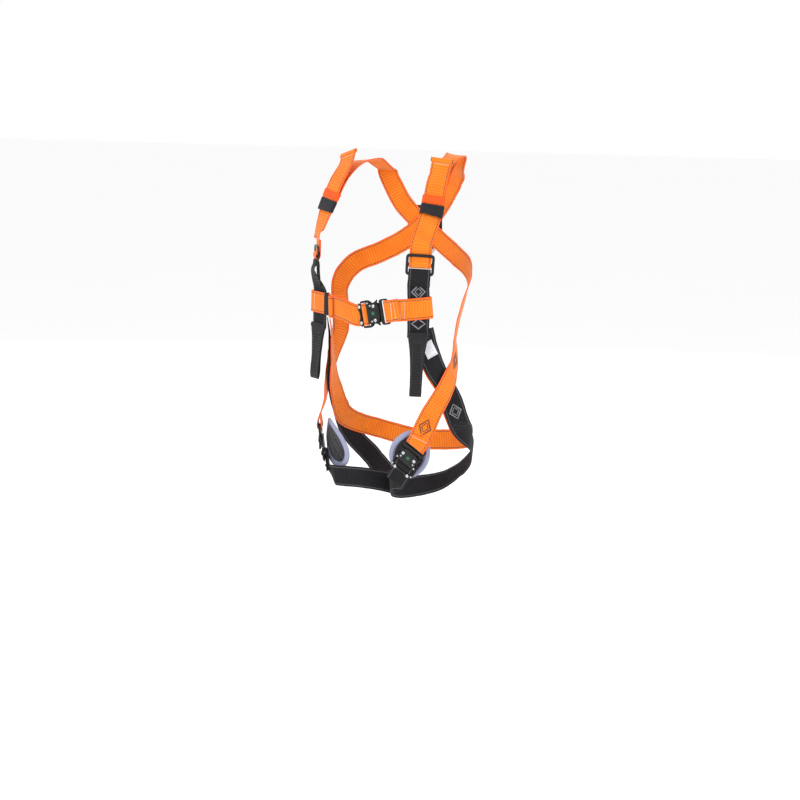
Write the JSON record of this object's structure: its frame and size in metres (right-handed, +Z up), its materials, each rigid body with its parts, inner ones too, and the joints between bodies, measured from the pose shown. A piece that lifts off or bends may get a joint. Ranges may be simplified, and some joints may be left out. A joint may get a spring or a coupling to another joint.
{
  "type": "safety harness",
  "caption": "Full-body fall-arrest harness in orange and black webbing, with quick-connect buckles, slide adjusters, leg pads, front loops and a dorsal ring.",
  "frame": {"origin": "middle of the neck opening, level with the tops of the shoulder straps", "axes": "+Z up the wearer's body, the wearer faces -Y, +X towards the wearer's left"},
  "size_m": [0.3442, 0.2654, 0.7462],
  "materials": {
    "webbing_orange": "matte ribbed polyester webbing",
    "webbing_black": "matte ribbed polyester webbing",
    "elastic_black": "matte woven elastic",
    "cuff_orange": "matte smooth tape",
    "steel_black": "satin black",
    "steel_bright": "polished",
    "plastic_black": "fine grain",
    "indicator_green": "gloss",
    "pad_black": "padded mesh cloth with a lavender-grey lining",
    "label_grey": "smooth textile label"
  },
  "bodies": {
    "harness": {"chest_buckle_base": "steel_black", "chest_buckle_bar": "steel_black", "chest_buckle_cover": "steel_black", "chest_buckle_indicator": "indicator_green", "left_leg_buckle_base": "steel_black", "left_leg_buckle_bar": "steel_black", "left_leg_buckle_cover": "steel_black", "left_leg_buckle_indicator": "indicator_green", "right_leg_buckle_base": "steel_black", "right_leg_buckle_bar": "steel_black", "right_leg_buckle_cover": "steel_black", "right_leg_buckle_indicator": "indicator_green", "slide_left": "steel_black", "slide_right": "steel_black", "main_strap_left_shoulder": "webbing_orange", "main_strap_right_shoulder": "webbing_orange", "main_strap_end_left_leg": "webbing_orange", "main_strap_end_right_leg": "webbing_orange", "elastic_band_left": "elastic_black", "elastic_band_right": "elastic_black", "orange_cuff_left": "cuff_orange", "orange_cuff_right": "cuff_orange", "rescue_loop_left": "webbing_orange", "rescue_loop_right": "webbing_orange", "front_strap_left": "webbing_black", "front_strap_right": "webbing_black", "chest_strap_left": "webbing_orange", "chest_strap_right": "webbing_orange", "chest_keeper": "elastic_black", "hip_leg_strap_left": "webbing_black", "hip_leg_strap_right": "webbing_black", "seat_strap": "webbing_orange", "leg_pad_left": "pad_black", "leg_pad_right": "pad_black", "label": "label_grey", "dorsal_plate": "plastic_black"},
    "chest_tongue": {"chest_buckle_tongue": "steel_black"},
    "chest_lever_upper": {"chest_buckle_lever_upper": "steel_black"},
    "chest_lever_lower": {"chest_buckle_lever_lower": "steel_black"},
    "left_leg_tongue": {"left_leg_buckle_tongue": "steel_black"},
    "left_leg_lever_upper": {"left_leg_buckle_lever_upper": "steel_black"},
    "left_leg_lever_lower": {"left_leg_buckle_lever_lower": "steel_black"},
    "right_leg_tongue": {"right_leg_buckle_tongue": "steel_black"},
    "right_leg_lever_upper": {"right_leg_buckle_lever_upper": "steel_black"},
    "right_leg_lever_lower": {"right_leg_buckle_lever_lower": "steel_black"},
    "front_loop_left": {"front_loop_left": "webbing_black"},
    "front_loop_right": {"front_loop_right": "webbing_black"},
    "dorsal_ring": {"dorsal_ring": "steel_bright"}
  },
  "joints": [
    {"name": "chest_tongue_pull", "type": "slide", "parent": "harness", "child": "chest_tongue", "axis": [0.9781, -0.0858, 0.1895], "range_m": [0, 0.022], "deforming": ["chest_strap_left"]},
    {"name": "chest_lever_upper_press", "type": "hinge", "parent": "harness", "child": "chest_lever_upper", "pos_m": [0.02158, -0.13894, -0.29438], "axis": [0.0839, 0.9963, 0.0179], "range_deg": [0, 8], "stiffness_Nm_per_rad": 0.05, "springref_deg": -5.73},
    {"name": "chest_lever_lower_press", "type": "hinge", "parent": "harness", "child": "chest_lever_lower", "pos_m": [0.0271, -0.13889, -0.32285], "axis": [-0.0839, -0.9963, -0.0179], "range_deg": [0, 8], "stiffness_Nm_per_rad": 0.05, "springref_deg": -5.73},
    {"name": "left_leg_tongue_pull", "type": "slide", "parent": "harness", "child": "left_leg_tongue", "axis": [0.5483, -0.046, 0.835], "range_m": [0, 0.022], "deforming": ["main_strap_end_left_leg"]},
    {"name": "left_leg_lever_upper_press", "type": "hinge", "parent": "harness", "child": "left_leg_lever_upper", "pos_m": [0.07997, -0.11201, -0.59654], "axis": [-0.0375, 0.9961, 0.0796], "range_deg": [0, 8], "stiffness_Nm_per_rad": 0.05, "springref_deg": -5.73},
    {"name": "left_leg_lever_lower_press", "type": "hinge", "parent": "harness", "child": "left_leg_lever_lower", "pos_m": [0.1042, -0.10983, -0.61233], "axis": [0.0375, -0.9961, -0.0796], "range_deg": [0, 8], "stiffness_Nm_per_rad": 0.05, "springref_deg": -5.73},
    {"name": "right_leg_tongue_pull", "type": "slide", "parent": "harness", "child": "right_leg_tongue", "axis": [-0.1203, 0, 0.9927], "range_m": [0, 0.022], "deforming": ["main_strap_end_right_leg"]},
    {"name": "right_leg_lever_upper_press", "type": "hinge", "parent": "harness", "child": "right_leg_lever_upper", "pos_m": [-0.14717, -0.07186, -0.59863], "axis": [0.8742, 0.4738, 0.106], "range_deg": [0, 8], "stiffness_Nm_per_rad": 0.05, "springref_deg": -5.73},
    {"name": "right_leg_lever_lower_press", "type": "hinge", "parent": "harness", "child": "right_leg_lever_lower", "pos_m": [-0.13353, -0.0974, -0.59698], "axis": [-0.8742, -0.4738, -0.106], "range_deg": [0, 8], "stiffness_Nm_per_rad": 0.05, "springref_deg": -5.73},
    {"name": "front_loop_left_swing", "type": "hinge", "parent": "harness", "child": "front_loop_left", "pos_m": [0.107, -0.108, -0.353], "axis": [-0.8639, -0.5023, 0.0374], "range_deg": [0, 110]},
    {"name": "front_loop_right_swing", "type": "hinge", "parent": "harness", "child": "front_loop_right", "pos_m": [-0.149, -0.084, -0.354], "axis": [-0.9518, 0.3006, 0.0606], "range_deg": [0, 110]},
    {"name": "dorsal_ring_swing", "type": "hinge", "parent": "harness", "child": "dorsal_ring", "pos_m": [0, 0.11266, -0.14982], "axis": [1, 0, 0], "range_deg": [0, 170]}
  ]
}
